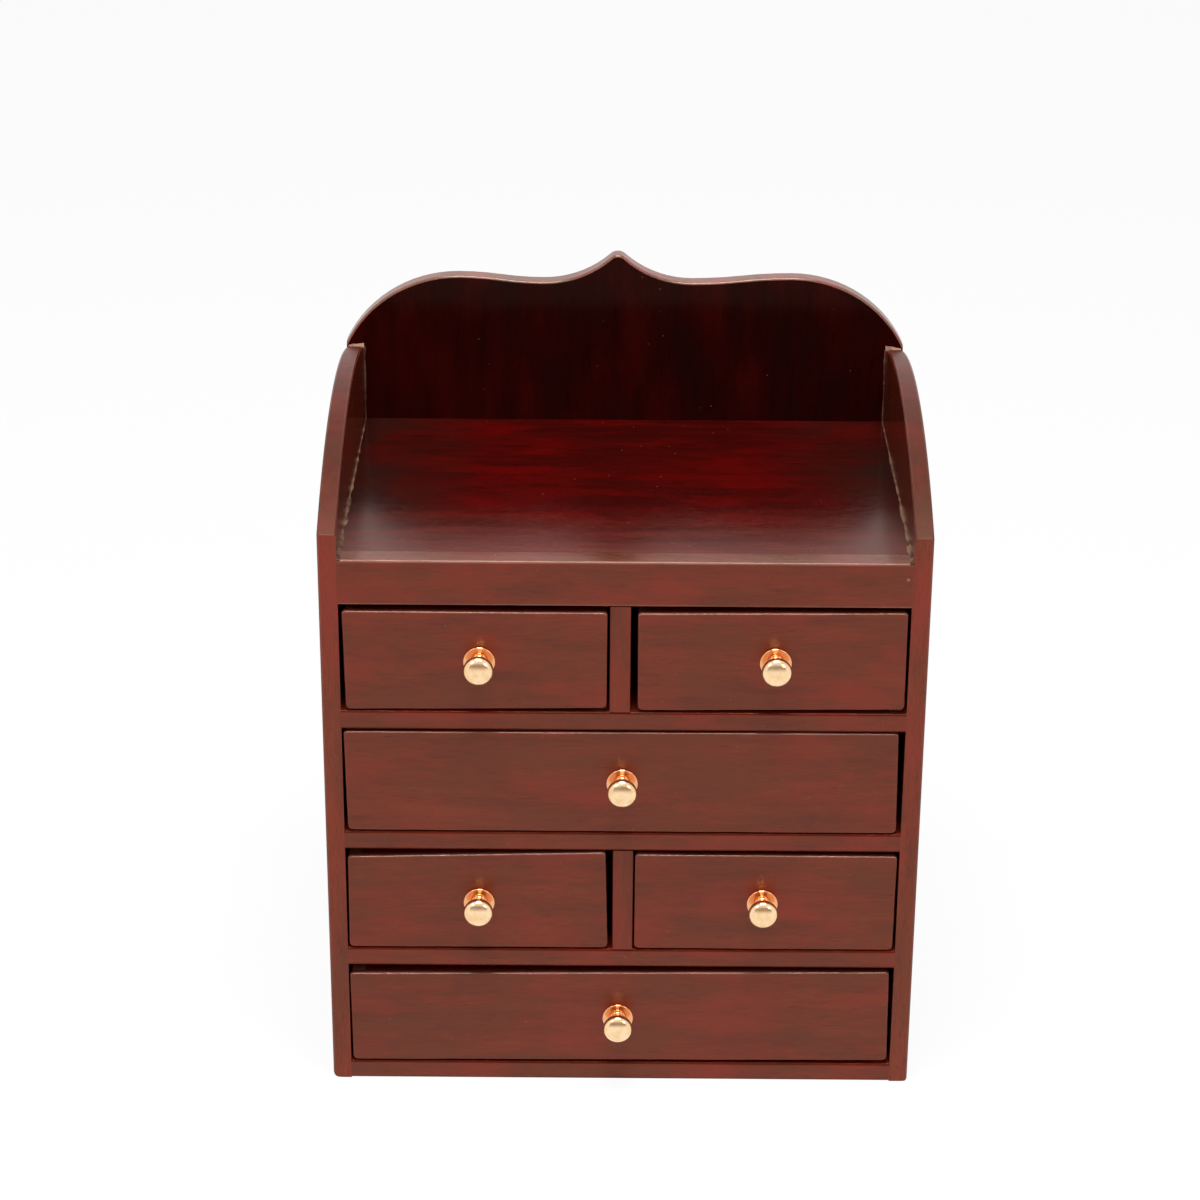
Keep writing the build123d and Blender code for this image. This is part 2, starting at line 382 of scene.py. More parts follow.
def used_and_lit(tree, marks, colour, rough, scuffed_and_lit):
    """The colour and roughness of a shelf with painted shade at its ends, and a dull, streaky front that is
    partly scuff marks and partly painted lighter where light falls.
    """
    # The front: duller and streaky from scuffing, and painted lighter where light falls on it
    scuff_and_light = stretch(tree, marks["depth"], *scuff_and_light_span, 0.0, scuffed_and_lit)
    scuff_and_light = calc(tree, "MULTIPLY", scuff_and_light, stretch(tree, marks["ribbon"], *scuff_and_light_streaks))
    # Painted shade: the shelf is darker towards its ends, where it meets the side panels
    end_shade = stretch(tree, marks["across"], *end_shade_span)
    end_shade = calc(tree, "MULTIPLY", end_shade, stretch(tree, marks["sweep"], *end_shade_patches))
    colour = tint(tree, end_shade, colour, srgb(*end_shade_tone))
    colour = tint(tree, scuff_and_light, colour, srgb(*scuff_and_light_tone))
    return colour, calc(tree, "MULTIPLY_ADD", scuff_and_light, scuff_dulling, rough)


def lacquered(name, along, tones, gloss, shade=(1.0, 1.0, 1.0), shine=0.5, scuffed_and_lit=0.0):
    """Stained mahogany under lacquer, paler on the edges: partly abraded wood and partly a painted highlight.
    """
    deep, middle, light, red, brown, speck = (stained_and_lit(tone, shade) for tone in (*tones, speck_tone))
    material, tree = blank(name)
    marks = grain(tree, along)
    colour = ramp(tree, figure(tree, marks, lacquer_fibre_share), lacquer_stops, (deep, middle, light))
    colour = tint(tree, stretch(tree, marks["blotch"], *red_blotches), colour, red)
    colour = tint(tree, stretch(tree, marks["blotch"], *brown_blotches), colour, brown)
    colour = tint(tree, calc(tree, "MULTIPLY", marks["pore"], lacquer_pore_stain), colour, deep)
    colour = tint(tree, calc(tree, "MULTIPLY", marks["speck"], speck_stain), colour, speck)
    rough = stretch(tree, marks["fibre"], *noise_range, *gloss)
    if scuffed_and_lit:
        colour, rough = used_and_lit(tree, marks, colour, rough, scuffed_and_lit)
    # Paler edges: partly abraded wood and partly a painted highlight
    worn_and_lit = add(tree, "Attribute", attribute_name="wear_and_highlight").outputs["Fac"]
    rubbed_and_lit = calc(tree, "MULTIPLY", worn_and_lit, stretch(tree, marks["blotch"], *wear_and_highlight_patches))
    height = calc(tree, "MULTIPLY_ADD", marks["pore"], lacquer_pore_depth, marks["fibre"])
    inputs = {
        "Base Color": tint(tree, rubbed_and_lit, colour, srgb(*wear_and_highlight_tone)),
        "Roughness": calc(tree, "MULTIPLY", rough, stretch(tree, worn_and_lit, *wear_polish)),
        "Normal": bump(tree, height, lacquer_bump, bump(tree, marks["sweep"], board_waviness)),
        "IOR": lacquer_ior,
        "Specular IOR Level": shine,
        "Specular Tint": lacquer_tint,
    }
    surface(tree, add(tree, "BsdfPrincipled", inputs))
    return material


# Tones of the stain: in the dark grain, the middle, the light grain, red patches and brown patches
front_tones = ((98, 26, 11), (118, 36, 15), (132, 46, 20), (142, 36, 22), (106, 41, 18))
side_tones = ((106, 28, 12), (127, 40, 17), (142, 50, 22), (150, 40, 24), (114, 44, 20))
shelf_tones = ((50, 5, 4), (73, 7, 5), (88, 8, 6), (100, 6, 5), (54, 9, 6))
# Tones of the back's inner face, darkened as painted shade
inner_back_shaded_tones = ((36, 4, 3), (46, 6, 4), (53, 8, 5), (65, 8, 6), (34, 9, 6))

# Factors on the red, green and blue of those tones: painted shade for faces in darker light and painted sheen
# for faces in brighter light
# Bevels and side tops get painted shade; the rail top, inner sides and crest get a painted sheen
bevel_painted_shade = (0.75, 0.6, 0.6)
rail_top_painted_sheen = (0.85, 2.1, 3.4)
side_top_painted_shade = (0.47, 0.56, 0.7)
inner_side_painted_sheen = (0.9, 1.6, 2.7)
crest_painted_sheen = (1.1, 3.5, 9.0)

# Roughness of the lacquer in the dark and the light grain
side_top_gloss = (0.36, 0.48)
front_gloss = (0.27, 0.39)
side_gloss = (0.24, 0.36)
crest_gloss = (0.16, 0.26)
shelf_gloss = (0.12, 0.2)
inner_side_gloss = (0.11, 0.16)
edge_gloss = (0.1, 0.15)
inner_back_gloss = (0.07, 0.12)

mahogany = {axis: lacquered("mahogany_" + axis.lower(), axis, front_tones, front_gloss) for axis in "XZ"}
bevel_shaded_mahogany = lacquered("mahogany_bevel_shaded", "X", front_tones, edge_gloss, bevel_painted_shade, shine=0.1)
rail_top_sheen_mahogany = lacquered("mahogany_rail_top_sheen", "X", front_tones, edge_gloss, rail_top_painted_sheen)
side_mahogany = lacquered("mahogany_side", "Z", side_tones, side_gloss)
side_top_shaded_mahogany = lacquered("mahogany_side_top_shaded", "Z", side_tones, side_top_gloss, side_top_painted_shade, shine=0.3)
inner_side_sheen_mahogany = lacquered("mahogany_inner_side_sheen", "Z", side_tones, inner_side_gloss, inner_side_painted_sheen)
shelf_mahogany = lacquered("mahogany_shelf", "X", shelf_tones, shelf_gloss, scuffed_and_lit=0.58)
crest_sheen_mahogany = lacquered("mahogany_crest_sheen", "Z", side_tones, crest_gloss, crest_painted_sheen)
inner_back_shaded_mahogany = lacquered("mahogany_inner_back_shaded", "Z", inner_back_shaded_tones, inner_back_gloss, shine=0.05)


# Plain wood

# Tones of the dark grain, the middle and the light grain
box_tones = ((118, 76, 46), (150, 104, 66), (172, 126, 84))
panel_tones = ((140, 96, 58), (170, 124, 80), (190, 146, 100))

# Grain, marks and finish of the sanded wood
sanded_fibre_share = 0.45
sanded_stops = (0.36, 0.5, 0.66)
sanded_pore_stain = 0.5
sanded_blotches = (0.45, 0.7, 0.0, 0.35)
sanded_gloss = (0.52, 0.7)
sanded_bump = 0.06 * mm


def sanded(name, along, tones):
    """Plain wood inside the drawers, sanded and left without lacquer."""
    deep, middle, light = (srgb(*tone) for tone in tones)
    material, tree = blank(name)
    marks = grain(tree, along)
    colour = ramp(tree, figure(tree, marks, sanded_fibre_share), sanded_stops, (deep, middle, light))
    colour = tint(tree, calc(tree, "MULTIPLY", marks["pore"], sanded_pore_stain), colour, deep)
    colour = tint(tree, stretch(tree, marks["blotch"], *sanded_blotches), colour, middle)
    height = calc(tree, "SUBTRACT", marks["fibre"], marks["pore"])
    inputs = {
        "Base Color": colour,
        "Roughness": stretch(tree, marks["fibre"], *noise_range, *sanded_gloss),
        "Normal": bump(tree, height, sanded_bump),
    }
    surface(tree, add(tree, "BsdfPrincipled", inputs))
    return material


box_wood = {axis: sanded("drawer_wood_" + axis.lower(), axis, box_tones) for axis in "XY"}
panel_wood = sanded("drawer_panel", "X", panel_tones)


# Brass, steel and filler

# Brass: features per metre of its clouds and turning lines, tones, gloss and depth of the lines
brass_cloud_scale = 260.0
brass_line_scale = 420.0
brass_line_squeeze = (1.0, 14.0, 1.0)
brass_stops = (0.35, 0.6)
brass_tones = ((246, 204, 154), (254, 222, 178))
tarnish_tone = (240, 176, 128)
brass_gloss = (0.09, 0.17)
brass_bump = 0.004 * mm

# Zinc plating of the screws
zinc_cloud_scale = 900.0
zinc_tones = ((150, 146, 138), (196, 192, 182))
zinc_gloss = (0.28, 0.45)
zinc_bump = 0.01 * mm

# Filler: features per metre, and its dark and pale tones in the joints, at the back and over the pin
crumb_scale = 900.0
stain_scale = 160.0
stain_share = 0.6
stain_stops = (0.42, 0.6)
filler_roughness = 0.6
filler_bump = 0.1 * mm
joint_tones = ((62, 30, 20), (168, 128, 96))
dull_tones = ((50, 24, 18), (118, 82, 64))
pin_tones = ((140, 80, 58), (196, 150, 120))


def polished_brass():
    """Brass with a bright polish, faint turning lines and a little tarnish."""
    material, tree = blank("polished_brass")
    spot = add(tree, "TexCoord").outputs["Object"]
    cloudy = clouds(tree, spot, brass_cloud_scale, detail=3.0)
    lines = clouds(tree, shift(tree, "MULTIPLY", spot, brass_line_squeeze), brass_line_scale)
    bright = ramp(tree, cloudy, brass_stops, [srgb(*tone) for tone in brass_tones])
    dulled = add(tree, "Attribute", attribute_name="tarnish").outputs["Fac"]
    inputs = {
        "Base Color": tint(tree, dulled, bright, srgb(*tarnish_tone)),
        "Metallic": 1.0,
        "Roughness": stretch(tree, cloudy, *noise_range, *brass_gloss),
        "Normal": bump(tree, lines, brass_bump),
    }
    surface(tree, add(tree, "BsdfPrincipled", inputs))
    return material


def zinc():
    """Dull plated steel of the screws."""
    material, tree = blank("zinc")
    spot = add(tree, "TexCoord").outputs["Object"]
    cloudy = clouds(tree, spot, zinc_cloud_scale, detail=3.0)
    inputs = {
        "Base Color": ramp(tree, cloudy, noise_range, [srgb(*tone) for tone in zinc_tones]),
        "Metallic": 1.0,
        "Roughness": stretch(tree, cloudy, *noise_range, *zinc_gloss),
        "Normal": bump(tree, cloudy, zinc_bump),
    }
    surface(tree, add(tree, "BsdfPrincipled", inputs))
    return material


def putty(name, tones):
    """Wood filler: dull, crumbly and patchily stained."""
    material, tree = blank(name)
    spot = add(tree, "TexCoord").outputs["Object"]
    crumbs = clouds(tree, spot, crumb_scale, detail=4.0, rough=0.65)
    crumb_stain = calc(tree, "MULTIPLY", crumbs, 1 - stain_share)
    stain = calc(tree, "MULTIPLY_ADD", clouds(tree, spot, stain_scale), stain_share, crumb_stain)
    inputs = {
        "Base Color": ramp(tree, stain, stain_stops, [srgb(*tone) for tone in tones]),
        "Roughness": filler_roughness,
        "Normal": bump(tree, crumbs, filler_bump),
    }
    surface(tree, add(tree, "BsdfPrincipled", inputs))
    return material


brass = polished_brass()
steel = zinc()
filler = putty("joint_filler", joint_tones)
dull_filler = putty("dull_filler", dull_tones)
pin_filler = putty("pin_filler", pin_tones)


# Pieces


def placed(name, data):
    """A new object in the scene."""
    thing = bpy.data.objects.new(name, data)
    bpy.context.scene.collection.objects.link(thing)
    return thing


def smooth(shape):
    """Smooth shading, broken at the sharp edges."""
    for face in shape.faces:
        face.smooth = True
    for edge in shape.edges:
        edge.smooth = len(edge.link_faces) == 2 and edge.calc_face_angle() < shading_angle


def all_over(material):
    """The same finish on every face."""
    return lambda face: material


def piece(name, shape, finish, body, slot, *stands_for):
    """A mesh made into a piece that rides on a body, with a finish that gives each face its material."""
    bmesh.ops.recalc_face_normals(shape, faces=shape.faces)
    smooth(shape)
    chosen = [finish(face) for face in shape.faces]
    materials = list(dict.fromkeys(chosen))
    for face, material in zip(shape.faces, chosen):
        face.material_index = materials.index(material)
    mesh = bpy.data.meshes.new(name)
    shape.to_mesh(mesh)
    shape.free()
    for material in materials:
        mesh.materials.append(material)
    thing = placed(name, mesh)
    thing.modifiers.new("even_shading", "WEIGHTED_NORMAL").keep_sharp = True
    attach(thing, body)
    if stands_for:
        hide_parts(*stands_for)


def skin(shape, rings):
    """Joins rings of points, each as long as the last, and returns their vertices."""
    loops = [[shape.verts.new(point) for point in ring] for ring in rings]
    for ring, following in zip(loops, loops[1:]):
        for here in range(len(ring)):
            shape.faces.new((ring[here - 1], ring[here], following[here], following[here - 1]))
    return loops


def capped(shape, rings):
    """A closed form from rings of points."""
    loops = skin(shape, rings)
    shape.faces.new(loops[0])
    shape.faces.new(loops[-1])
    return loops


def lathe(profile, sides, foot):
    """A turned form on an axis along Y: radii and distances from a foot point, ending on the axis."""
    shape = bmesh.new()
    turns = [math.tau * side / sides for side in range(sides)]
    rings = [
        [foot + Vector((radius * math.cos(turn), along, radius * math.sin(turn))) for turn in turns]
        for radius, along in profile[:-1]
    ]
    loops = skin(shape, rings)
    shape.faces.new(loops[0])
    tip = shape.verts.new(foot + Vector((0, profile[-1][1], 0)))
    for here in range(sides):
        shape.faces.new((loops[-1][here - 1], loops[-1][here], tip))
    return shape


def quarter(steps):
    """Sine and cosine at even steps through a quarter turn."""
    angles = (math.pi / 2 * step / steps for step in range(steps + 1))
    return [(math.sin(angle), math.cos(angle)) for angle in angles]


# Boards of the case and of the drawer boxes


def at_front(edge):
    """Edges along the front of a level board."""
    first, second = (vert.co for vert in edge.verts)
    level = abs(first.x - second.x) > abs(first.z - second.z) + abs(first.y - second.y)
    return level and max(first.y, second.y) < front_y + front_reach


def upright_front(edge):
    """Upright edges at the front of a divider."""
    first, second = (vert.co for vert in edge.verts)
    return abs(first.z - second.z) > upright_length and max(first.y, second.y) < front_y + divider_reach


def outside(edge):
    """Edges of a side panel away from its housings."""
    centre = (edge.verts[0].co + edge.verts[1].co) / 2
    return abs(centre.x) > inner_half + housing_clear or centre.z > gallery_z + shelf_clear


def any_edge(edge):
    """Every edge."""
    return True


def bevelled(face):
    """Whether a face of a square board is one of its bevels."""
    return max(abs(part) for part in face.normal) < square_on


def shelf_finish(face):
    """A shelf, with painted shade on the bevels of its front edge."""
    return bevel_shaded_mahogany if bevelled(face) else mahogany["X"]


def divider_finish(face):
    """A divider, with painted shade on the bevels of its front edge."""
    return bevel_shaded_mahogany if bevelled(face) else mahogany["Z"]


def rail_finish(face):
    """The top rail, paler on its top with a painted sheen."""
    return rail_top_sheen_mahogany if face.normal.z > square_on else mahogany["X"]


def side_finish(face):
    """A side panel, with a painted sheen on the inner face and painted shade along the top edge."""
    if abs(face.normal.x) > square_on and face.normal.x * face.calc_center_median().x < 0:
        return inner_side_sheen_mahogany
    return side_top_shaded_mahogany if face.normal.z > leaning else side_mahogany


def back_finish(face):
    """The back panel, with painted shade on the inner face and a painted sheen along the crest."""
    if face.normal.y < -square_on:
        return inner_back_shaded_mahogany
    return crest_sheen_mahogany if face.normal.z > leaning else side_mahogany


def softened(node, finish, wanted, rubbed_and_lit=0.0):
    """A board of the solid model with its edges rounded, which stands for its node."""
    shape = bmesh.new()
    shape.from_mesh(nodes[node].data)
    bmesh.ops.remove_doubles(shape, verts=shape.verts, dist=weld_gap)
    bmesh.ops.dissolve_limit(shape, angle_limit=flat_angle, verts=shape.verts, edges=shape.edges)
    wear_and_highlight = shape.faces.layers.float.new("wear_and_highlight")
    edges = [
        edge for edge in shape.edges
        if len(edge.link_faces) == 2 and edge.calc_face_angle() > arris_angle and wanted(edge)
    ]
    rounded = bmesh.ops.bevel(
        shape, geom=edges, offset=arris_round, offset_type="OFFSET", segments=arris_steps,
        profile=round_profile, affect="EDGES", clamp_overlap=True,
    )
    # The rounded edges are paled: partly abraded wood and partly a painted highlight
    for face in rounded["faces"]:
        face[wear_and_highlight] = rubbed_and_lit
    piece(node + "_board", shape, finish, body_of[node], slot_of[node], node)


softened("side_panel_left", side_finish, outside, side_wear_and_highlight)
softened("side_panel_right", side_finish, outside, side_wear_and_highlight)
softened("back_panel", back_finish, any_edge, back_wear_and_highlight)
softened("top_rail", rail_finish, at_front, rail_wear_and_highlight)
softened("top_shelf", all_over(shelf_mahogany), at_front)
for board in ("upper_shelf", "middle_shelf", "lower_shelf", "bottom_board"):
    softened(board, shelf_finish, at_front)
for board in ("upper_divider", "lower_divider"):
    softened(board, divider_finish, upright_front)
for board in ("kicker_left", "kicker_middle", "kicker_right"):
    softened(board, all_over(box_wood["Y"]), any_edge)
for drawer in drawers:
    softened(drawer + "_side_left", all_over(box_wood["Y"]), any_edge)
    softened(drawer + "_side_right", all_over(box_wood["Y"]), any_edge)
    softened(drawer + "_back", all_over(box_wood["X"]), any_edge)
    softened(drawer + "_bottom", all_over(panel_wood), any_edge)


# Drawer fronts, planed to fit and rounded by hand


def outline_corners(node):
    """The four corners of a front seen from the front, anticlockwise from the lower left."""
    points = [(vert.co.x, vert.co.z) for vert in nodes[node].data.vertices]
    ways = ((-1, -1), (1, -1), (1, 1), (-1, 1))
    return [Vector(max(points, key=lambda p: p[0] * x + p[1] * z)) for x, z in ways]


def rounded_outline(corners):
    """The outline with its corners rounded and points along its edges."""
    radii = (front_foot_corner, front_foot_corner, front_top_corner, front_top_corner)
    points = []
    for turn, (corner, radius) in enumerate(zip(corners, radii)):
        following = (turn + 1) % len(corners)
        before = (corners[turn - 1] - corner).normalized()
        after = (corners[following] - corner).normalized()
        start, stop = corner + before * radius, corner + after * radius
        for step in range(front_corner_steps + 1):
            t = step / front_corner_steps
            points.append(start * (1 - t) ** 2 + corner * 2 * t * (1 - t) + stop * t ** 2)
        edge_end = corners[following] - after * radii[following]
        spans = round((edge_end - stop).length / front_edge_step)
        points += [stop.lerp(edge_end, span / spans) for span in range(1, spans)]
    return points


def outward(points):
    """The outward direction at each point of an outline."""
    ways = []
    for here in range(len(points)):
        along = points[(here + 1) % len(points)] - points[here - 1]
        ways.append(Vector((along.y, -along.x)).normalized())
    return ways


def wobble(point, seed):
    """A smooth value between about -1 and 1 that changes along a hand-worked edge."""
    return noise.noise(Vector((point.x, point.y, 0)) / front_wobble_length + Vector((0, 0, seed)))


def front_rings(drawer, seed):
    """Rings of points from a front's face, over its arris and lap, to its rear between the sides."""
    node = drawer + "_front"
    points = rounded_outline(outline_corners(node))
    ways = outward(points)
    points = [p - w * front_wobble * (1 + wobble(p, seed)) / 2 for p, w in zip(points, ways)]
    radii = [front_arris * (1 + front_arris_vary * wobble(p, seed + front_arris_seed)) for p in points]
    face_y, rear_face_y = (corner.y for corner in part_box(node))
    lap_y = face_y + front_lap
    low_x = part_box(drawer + "_side_left")[1].x
    high_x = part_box(drawer + "_side_right")[0].x
    rings = []
    for rise, run in quarter(front_arris_steps):
        spots = [(p - w * r * (1 - rise), r * (1 - run)) for p, w, r in zip(points, ways, radii)]
        rings.append([(p.x, face_y + depth, p.y) for p, depth in spots])
    rings.append([(p.x, face_y + front_rubbed_depth, p.y) for p in points])
    rings.append([(p.x, lap_y - front_rear_ease, p.y) for p in points])
    eased = [p - w * front_rear_ease for p, w in zip(points, ways)]
    inner = [(min(max(p.x, low_x), high_x), p.y) for p in eased]
    rings.append([(p.x, lap_y, p.y) for p in eased])
    rings.append([(x, lap_y, z) for x, z in inner])
    rings.append([(x, rear_face_y, z) for x, z in inner])
    return rings


def drawer_front(drawer, seed):
    """A front with rounded arrises, lapped over the ends of the drawer's sides."""
    node = drawer + "_front"
    shape = bmesh.new()
    wear_and_highlight = shape.faces.layers.float.new("wear_and_highlight")
    loops = capped(shape, front_rings(drawer, seed))
    bmesh.ops.recalc_face_normals(shape, faces=shape.faces)
    # The arris is paled, partly abraded wood and partly a painted highlight, more on faces that look up
    # towards the light
    worn_and_lit = {vert for ring in loops[2:front_arris_steps + 1] for vert in ring}
    for face in shape.faces:
        if not worn_and_lit.isdisjoint(face.verts):
            face[wear_and_highlight] = front_top_wear_and_highlight if face.normal.z > looking_up else front_side_wear_and_highlight
    bmesh.ops.remove_doubles(shape, verts=shape.verts, dist=weld_gap)
    bmesh.ops.dissolve_degenerate(shape, edges=shape.edges, dist=weld_gap)
    piece(node + "_board", shape, all_over(mahogany["X"]), drawer, slot_of[node], node)


for seed, drawer in enumerate(drawers):
    drawer_front(drawer, seed)


# Knobs and their screws


def rear_middle(node):
    """The middle of the rear end of a turned node's box."""
    low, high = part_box(node)
    centre = (low + high) / 2
    return Vector((centre.x, high.y, centre.z))


def knob_profile(rose_radius, tip):
    """Radii and distances from the rose's back, along rose, neck and head to the tip."""
    neck_middle = (rose_thickness + head_root) / 2
    neck_half = (head_root - rose_thickness) / 2
    profile = [(rose_radius, 0)]
    for rise, run in quarter(curve_steps):
        profile.append((rose_radius - rose_rim * (1 - run), rose_thickness - rose_rim * (1 - rise)))
    for step in range(curve_steps + 1):
        turn = math.pi * (step / curve_steps - 0.5)
        radius = neck_radius + neck_flare * (1 - math.cos(turn))
        profile.append((radius, neck_middle + neck_half * math.sin(turn)))
    for step in range(curve_steps + 1):
        share = step / curve_steps
        swell = (head_radius - head_root_radius) * math.sin(math.pi / 2 * share)
        profile.append((head_root_radius + swell, head_root + (head_girdle - head_root) * share))
    for rise, run in quarter(curve_steps)[1:]:
        profile.append((head_radius * run, head_girdle + (tip - head_girdle) * rise))
    return profile


def knob(drawer):
    """A turned knob: flat rose, waisted neck, and a head that swells to a domed face."""
    node = drawer + "_knob"
    low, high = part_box(node)
    profile = knob_profile((high.x - low.x) / 2, high.y - low.y)
    foot = rear_middle(node)
    shape = lathe([(radius, -along) for radius, along in profile], knob_sides, foot)
    tarnish = shape.faces.layers.float.new("tarnish")
    for face in shape.faces:
        out = foot.y - face.calc_center_median().y
        face[tarnish] = min(max((head_girdle - out) / (head_girdle - head_root), 0.0), 1.0)
    piece(node + "_turned", shape, all_over(brass), drawer, slot_of[node], node)


def trimmed(shape, spot, way):
    """Cuts off what lies beyond a plane and closes the cut."""
    parts = shape.verts[:] + shape.edges[:] + shape.faces[:]
    cut = bmesh.ops.bisect_plane(shape, geom=parts, plane_co=spot, plane_no=way, clear_outer=True)
    edges = [part for part in cut["geom_cut"] if isinstance(part, bmesh.types.BMEdge)]
    bmesh.ops.edgenet_fill(shape, edges=edges)


def screw(drawer):
    """The round head of a knob's screw, in three parts that leave its slot open."""
    node = drawer + "_knob_screw"
    low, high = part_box(node)
    radius = (high.x - low.x) / 2
    foot = rear_middle(node) - Vector((0, screw_head_height, 0))
    profile = [(radius, 0)]
    for rise, run in quarter(curve_steps):
        profile.append((radius * run, screw_rim + (screw_head_height - screw_rim) * rise))
    slot_top = foot + up * screw_slot_width / 2
    slot_foot = foot - up * screw_slot_width / 2
    slot_floor = foot + Vector((0, screw_head_height - screw_slot_depth, 0))
    cuts = (
        [(slot_top, -up)],
        [(slot_foot, up)],
        [(slot_top, up), (slot_foot, -up), (slot_floor, -forward)],
    )
    head = bmesh.new()
    for planes in cuts:
        part = lathe(profile, screw_sides, foot)
        for spot, way in planes:
            trimmed(part, spot, way)
        mesh = bpy.data.meshes.new("screw_part")
        part.to_mesh(mesh)
        part.free()
        head.from_mesh(mesh)
        bpy.data.meshes.remove(mesh)
    piece(node + "_head", head, all_over(steel), drawer, slot_of[node], node)


for drawer in drawers:
    knob(drawer)
    screw(drawer)


# Filler and the pin


def bead(name, path, ways, widths, material):
    """Filler pressed into a corner along a path, with the two directions that lead out of the corner."""
    first, second = ways
    sunk = (first + second) * bead_sink
    rings = []
    for point, width in zip(path, widths):
        rings.append([
            point - sunk,
            point + first * width - second * bead_sink,
            point + (first + second) * width * bead_fullness,
            point + second * width - first * bead_sink,
        ])
    shape = bmesh.new()
    capped(shape, rings)
    piece(name, shape, all_over(material), "case", "mahogany")


def joint_bead(name, ends, ways, end_widths, material, seed):
    """The ragged bead along a joint, with its width at each end."""
    start, stop = ends
    length = (stop - start).length
    count = round(length / bead_step)
    path, widths = [], []
    for step in range(count + 1):
        share = step / count
        along = length * share / bead_patch_length
        patch = noise.noise(Vector((seed, along, 0)))
        ragged = noise.noise(Vector((seed, along * bead_ragged_rate, bead_ragged_seed)))
        width = end_widths[0] * (1 - share) + end_widths[1] * share
        path.append(start.lerp(stop, share))
        widths.append(width * max(bead_least, bead_mean + bead_patchy * patch + bead_ragged * ragged))
    bead(name, path, ways, widths, material)


def corner_spot(name, top, hand, seed):
    """The dab of filler where the top of a side meets the back."""
    path, widths = [], []
    for step in range(spot_steps + 1):
        share = step / spot_steps
        ragged = noise.noise(Vector((seed, share * spot_ragged_rate, 0)))
        x = hand * (inner_half + (outer_half - inner_half - spot_end_gap) * share)
        path.append(Vector((x, back_y, top)))
        widths.append(spot_width * (1 - spot_taper * share) * (1 + spot_ragged * ragged))
    bead(name, path, (forward, up), widths, filler)


def gallery_filler(side, hand):
    """The filler on one side: along the shelf, up the back and on top."""
    seed = bead_seeds[side]
    points = [vert.co for vert in nodes["side_panel_right"].data.vertices]
    side_top = max(point.z for point in points if point.y > back_y - back_contact)
    corner = Vector((hand * inner_half, back_y, gallery_z))
    front = Vector((hand * inner_half, front_y, gallery_z))
    summit = Vector((hand * inner_half, back_y, side_top))
    inward = -hand * right
    joint_bead("shelf_filler_" + side, (corner, front), (inward, up), shelf_bead_widths, filler, seed)
    joint_bead(
        "back_filler_" + side, (corner, summit), (inward, forward), back_bead_widths, dull_filler,
        seed + back_bead_seed,
    )
    corner_spot("corner_filler_" + side, side_top, hand, seed)


def rail_pin():
    """The filled head of a pin, just proud of the rail."""
    foot = Vector((pin_spot.x, front_y, pin_spot.z))
    profile = [(pin_radius, 0)] + [(pin_radius * run, -pin_rise * rise) for rise, run in quarter(pin_steps)]
    piece("rail_pin", lathe(profile, pin_sides, foot), all_over(pin_filler), "case", "mahogany")


gallery_filler("left", -1)
gallery_filler("right", 1)
rail_pin()


# Stage, light and camera


def sheet(name, corners, faces, material):
    """A flat or folded sheet of the stage."""
    mesh = bpy.data.meshes.new(name)
    mesh.from_pydata(corners, [], faces)
    mesh.materials.append(material)
    thing = placed(name, mesh)
    return thing


def seen_directly(tree):
    """1 for rays from the camera or from a gloss, and 0 for rays that carry light."""
    path = add(tree, "LightPath").outputs
    seen = calc(tree, "MAXIMUM", path["Is Camera Ray"], path["Is Glossy Ray"])
    return calc(tree, "MAXIMUM", seen, path["Is Transmission Ray"])


def joined(tree, kind, first, second, inputs=None):
    """Two shaders added or mixed."""
    node = add(tree, kind, inputs)
    tree.links.new(first.outputs[0], node.inputs[-2])
    tree.links.new(second.outputs[0], node.inputs[-1])
    return node


def floor_material():
    """A white floor that still takes the object's shadow."""
    material, tree = blank("floor")
    glow = add(tree, "Emission", {"Color": white, "Strength": floor_glow})
    shadow = add(tree, "BsdfDiffuse", {"Color": floor_shadow})
    lit = add(tree, "BsdfDiffuse", {"Color": floor_colour})
    shown = joined(tree, "AddShader", glow, shadow)
    surface(tree, joined(tree, "MixShader", lit, shown, {0: seen_directly(tree)}))
    return material


def room_material():
    """The room that only the gloss shows: pale at the floor and ceiling, and dimmer between them."""
    material, tree = blank("room")
    height = add(tree, "SeparateXYZ", {0: add(tree, "TexCoord").outputs["Object"]}).outputs["Z"]
    share = stretch(tree, height, 0.0, room_height)
    colour = ramp(tree, share, room_stops, (room_pale, room_dim, room_dim, room_pale))
    surface(tree, add(tree, "Emission", {"Color": colour, "Strength": 1.0}))
    return material


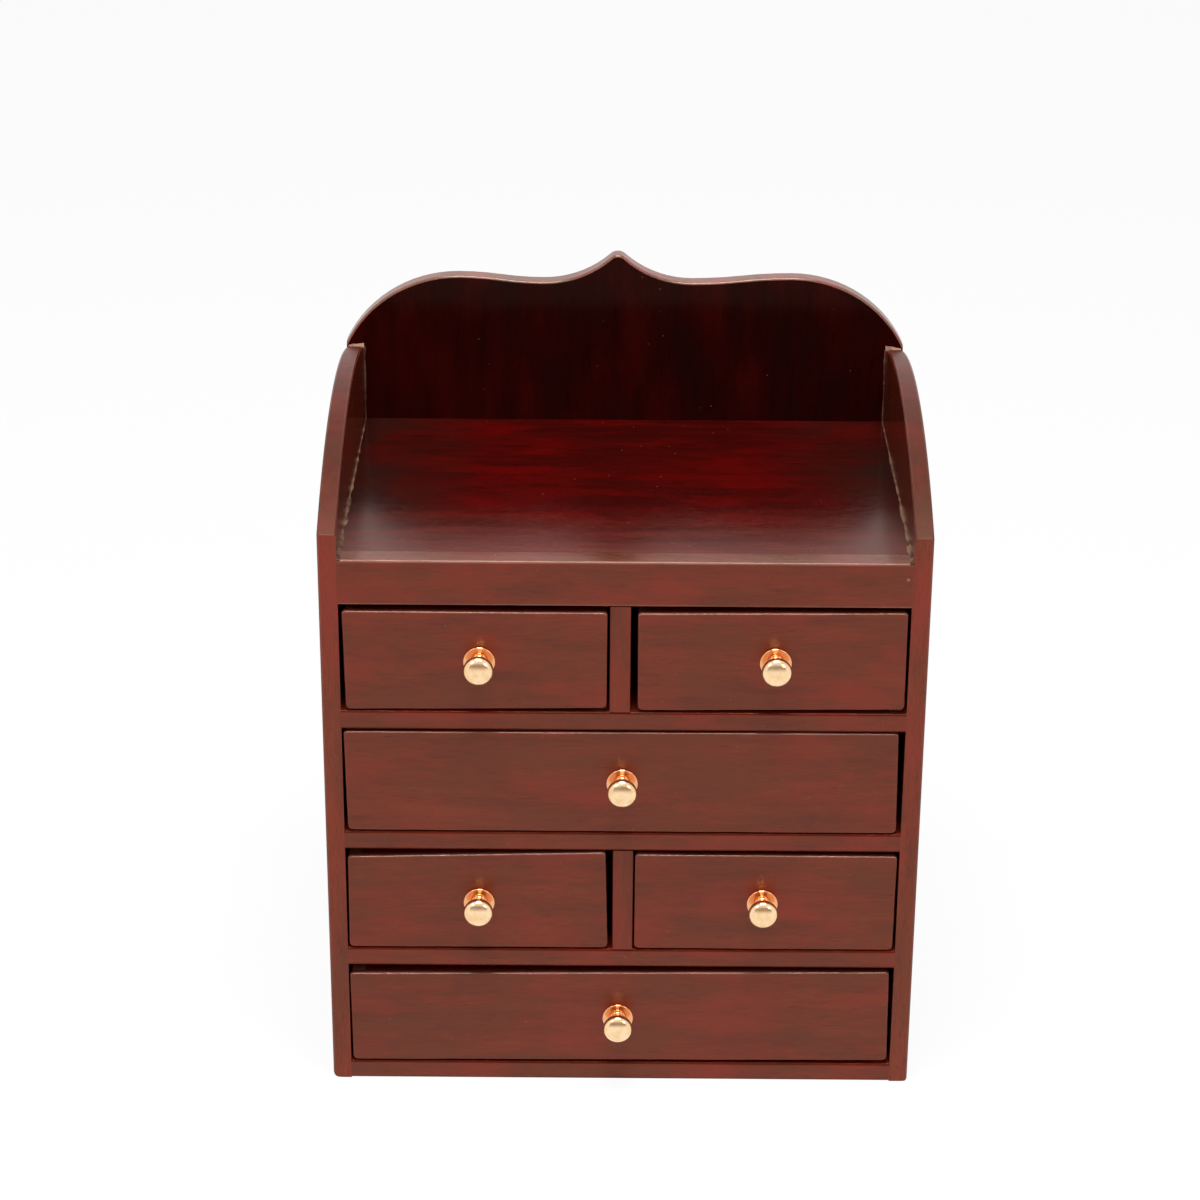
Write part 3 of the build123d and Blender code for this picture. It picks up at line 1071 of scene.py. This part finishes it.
def studio():
    """A white floor, and a grey wall and ceiling on the camera's side for the gloss to mirror."""
    ways = ((-1, -1), (1, -1), (1, 1), (-1, 1))
    corners = [(x * floor_half, y * floor_half, -floor_drop) for x, y in ways]
    sheet("floor", corners, [(0, 1, 2, 3)], floor_material())
    folds = ((room_front, 0), (room_front, room_height), (room_back, room_height))
    corners = [(x * room_half, y, z) for y, z in folds for x in (-1, 1)]
    room = sheet("room", corners, [(0, 1, 3, 2), (2, 3, 5, 4)], room_material())
    room.visible_camera = False
    room.visible_diffuse = False
    room.visible_shadow = False


def backdrop():
    """A world that is white to the camera and to gloss, and gives a little soft light."""
    world = bpy.data.worlds.new("studio")
    bpy.context.scene.world = world
    world.use_nodes = True
    tree = world.node_tree
    tree.nodes.clear()
    soft = add(tree, "Background", {"Color": white, "Strength": soft_light})
    plain = add(tree, "Background", {"Color": white, "Strength": 1.0})
    shown = joined(tree, "MixShader", soft, plain, {0: seen_directly(tree)})
    tree.links.new(shown.outputs[0], add(tree, "OutputWorld").inputs["Surface"])


def lamp(name, spot, width, depth, power):
    """A softbox aimed at the gallery."""
    light = bpy.data.lights.new(name, "AREA")
    light.shape = "RECTANGLE"
    light.size = width
    light.size_y = depth
    light.energy = power
    thing = placed(name, light)
    thing.location = spot
    aim = Vector((0, 0, gallery_z)) - Vector(spot)
    thing.rotation_mode = "QUATERNION"
    thing.rotation_quaternion = aim.to_track_quat("-Z", "Y")


def photo_camera():
    """The camera at the photograph's place, with its turns about its own axes."""
    data = bpy.data.cameras.new("photo_camera")
    data.sensor_width = camera_sensor
    data.lens = camera_lens
    camera = placed("photo_camera", data)
    level = Matrix(((1, 0, 0), (0, 0, -1), (0, 1, 0)))
    turn = Matrix.Rotation(camera_yaw, 3, "Y") @ Matrix.Rotation(camera_pitch, 3, "X")
    across, down, ahead = turn @ Matrix.Rotation(camera_roll, 3, "Z") @ level
    axes = Matrix((across, -down, -ahead)).transposed()
    camera.matrix_world = Matrix.Translation(camera_spot) @ axes.to_4x4()
    bpy.context.scene.camera = camera


studio()
backdrop()
for name, softbox in softboxes.items():
    lamp(name, *softbox)
photo_camera()
bpy.context.scene.view_settings.view_transform = "Standard"
